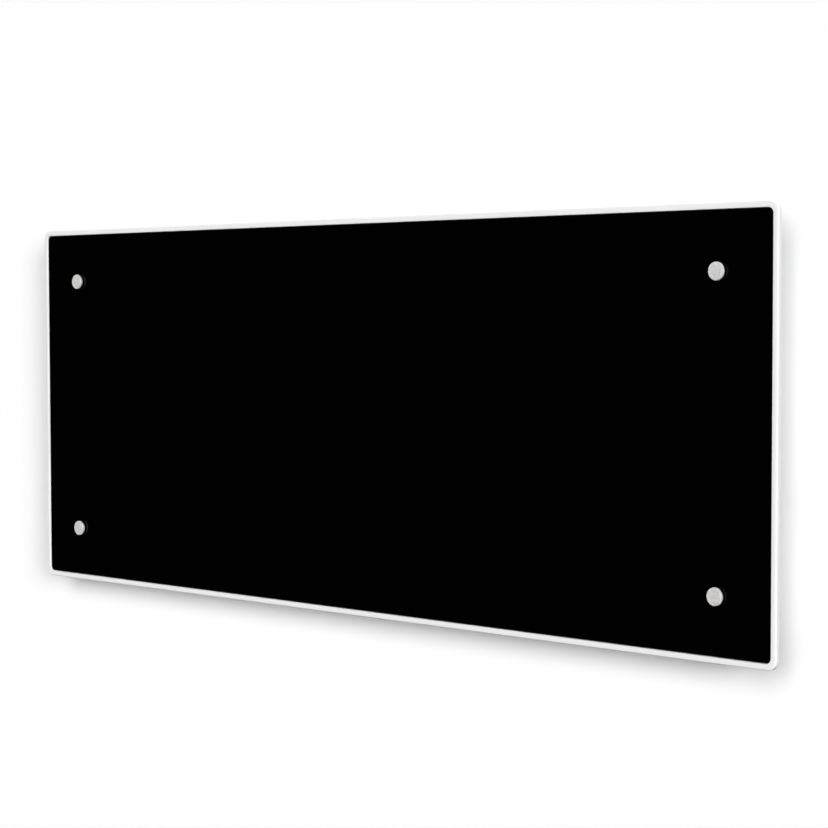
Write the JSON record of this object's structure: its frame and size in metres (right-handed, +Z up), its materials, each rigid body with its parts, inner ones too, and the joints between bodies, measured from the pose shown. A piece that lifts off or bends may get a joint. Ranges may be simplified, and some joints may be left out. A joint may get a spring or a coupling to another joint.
{
  "type": "infrared panel heater",
  "caption": "Wall-hung infrared panel heater: black glass front in a slim white frame with round metal caps, louvred rear cover, hooked wall bracket and push-button controls.",
  "frame": {"origin": "on the wall plane, at the centre of the wall bracket's four screw holes", "axes": "+Z up, +X to the right seen from the room, +Y into the wall"},
  "size_m": [0.931, 0.0555, 0.37],
  "materials": {
    "white_paint": "satin powder coat",
    "black_glass": "polished, back-coated black",
    "cap_metal": "turned and brushed",
    "zinc_steel": "bright zinc plated",
    "screw_steel": "zinc plated",
    "clear_silicone": "matt",
    "amber_film": "polyimide film",
    "element_alloy": "rolled resistance foil",
    "copper_tag": "copper",
    "reflector_sheet": "bright rolled",
    "mineral_wool": "mineral wool",
    "ceramic": "glazed steatite",
    "galvanised_pan": "galvanised sheet",
    "black_rubber": "matt",
    "bracket_paint": "powder coat",
    "cutout_body": "moulded phenolic with a metal cap",
    "grey_nylon": "moulded nylon",
    "black_plastic": "moulded",
    "white_plastic": "fine spark texture",
    "fascia_plastic": "gloss black",
    "smoked_window": "smoked acrylic",
    "key_plastic": "moulded",
    "circuit_board": "solder resist",
    "can_metal": "drawn can",
    "lead_sleeve": "silicone sleeved",
    "earth_sleeve": "green and yellow sleeve"
  },
  "bodies": {
    "wall_mount": {"wall_bracket": "bracket_paint"},
    "heater": {"button_board": "circuit_board", "cable_gland": "grey_nylon", "cap_bottom_left": "cap_metal", "cap_bottom_right": "cap_metal", "cap_studs": "zinc_steel", "cap_top_left": "cap_metal", "cap_top_right": "cap_metal", "cap_washers": "clear_silicone", "capacitor": "can_metal", "chassis_pan": "galvanised_pan", "control_board": "circuit_board", "control_fascia": "fascia_plastic", "control_housing": "white_plastic", "cover_screws": "screw_steel", "cutout_straps": "zinc_steel", "display_module": "black_plastic", "display_window": "smoked_window", "earth_lead": "earth_sleeve", "earth_stud": "zinc_steel", "earth_tag": "copper_tag", "element_leads": "lead_sleeve", "element_tags": "copper_tag", "front_film": "amber_film", "front_frame": "white_paint", "gland_nut": "zinc_steel", "glass_bushes": "clear_silicone", "glass_panel": "black_glass", "glass_pillars": "zinc_steel", "glass_seal": "clear_silicone", "hanger_plate_left": "zinc_steel", "hanger_plate_right": "zinc_steel", "heat_reflector": "reflector_sheet", "heating_element": "element_alloy", "housing_screws": "screw_steel", "insulation_blanket": "mineral_wool", "lead_clips": "white_plastic", "load_relay": "black_plastic", "pillar_screws": "zinc_steel", "pillar_washers": "clear_silicone", "rear_cover": "white_paint", "rear_film": "amber_film", "rivets": "zinc_steel", "room_sensor": "black_plastic", "safety_cutout": "cutout_body", "sensor_lead": "lead_sleeve", "supply_leads": "lead_sleeve", "switch_body": "black_plastic", "tact_switches": "black_plastic", "tag_bushes": "ceramic", "terminal_block": "ceramic", "terminal_screws": "zinc_steel", "thermal_cutout": "cutout_body", "transformer": "black_plastic", "wall_bumpers": "black_rubber", "wireless_module": "can_metal"},
    "rocker": {"switch_rocker": "black_plastic"},
    "power_key": {"button_power": "key_plastic"},
    "plus_key": {"button_plus": "key_plastic"},
    "minus_key": {"button_minus": "key_plastic"}
  },
  "joints": [
    {"name": "heater_lift", "type": "slide", "parent": "wall_mount", "child": "heater", "axis": [0, 0, 1], "range_m": [0, 0.011]},
    {"name": "rocker_tilt", "type": "hinge", "parent": "heater", "child": "rocker", "pos_m": [0.4415, -0.02515, -0.06], "axis": [0, 1, 0], "range_deg": [0, 20]},
    {"name": "power_press", "type": "slide", "parent": "heater", "child": "power_key", "axis": [0, 0, -1], "range_m": [0, 0.0008], "stiffness_N_per_m": 400},
    {"name": "plus_press", "type": "slide", "parent": "heater", "child": "plus_key", "axis": [0, 0, -1], "range_m": [0, 0.0008], "stiffness_N_per_m": 400},
    {"name": "minus_press", "type": "slide", "parent": "heater", "child": "minus_key", "axis": [0, 0, -1], "range_m": [0, 0.0008], "stiffness_N_per_m": 400}
  ]
}
